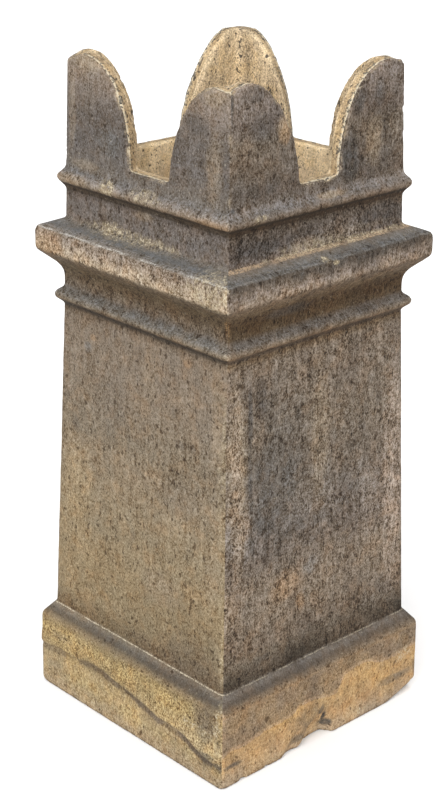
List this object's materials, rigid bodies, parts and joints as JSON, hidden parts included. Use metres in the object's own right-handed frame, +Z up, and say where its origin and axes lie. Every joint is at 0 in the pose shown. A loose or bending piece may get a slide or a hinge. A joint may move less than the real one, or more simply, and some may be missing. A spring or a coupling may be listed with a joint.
{
  "type": "chimney pot",
  "caption": "Square tapered fireclay chimney pot with a plinth, a moulded cornice and a crown of rounded corner horns, open from foot to top.",
  "frame": {"origin": "middle of the foot, on the surface that the pot stands on", "axes": "+Z up the flue, the front wall faces -Y and the right wall faces +X"},
  "size_m": [0.3854, 0.3854, 0.9133],
  "materials": {
    "fireclay": "matt weathered buff fireclay with soot, pits and lichen"
  },
  "bodies": {
    "root": {"chimney_pot": "fireclay"}
  },
  "joints": []
}
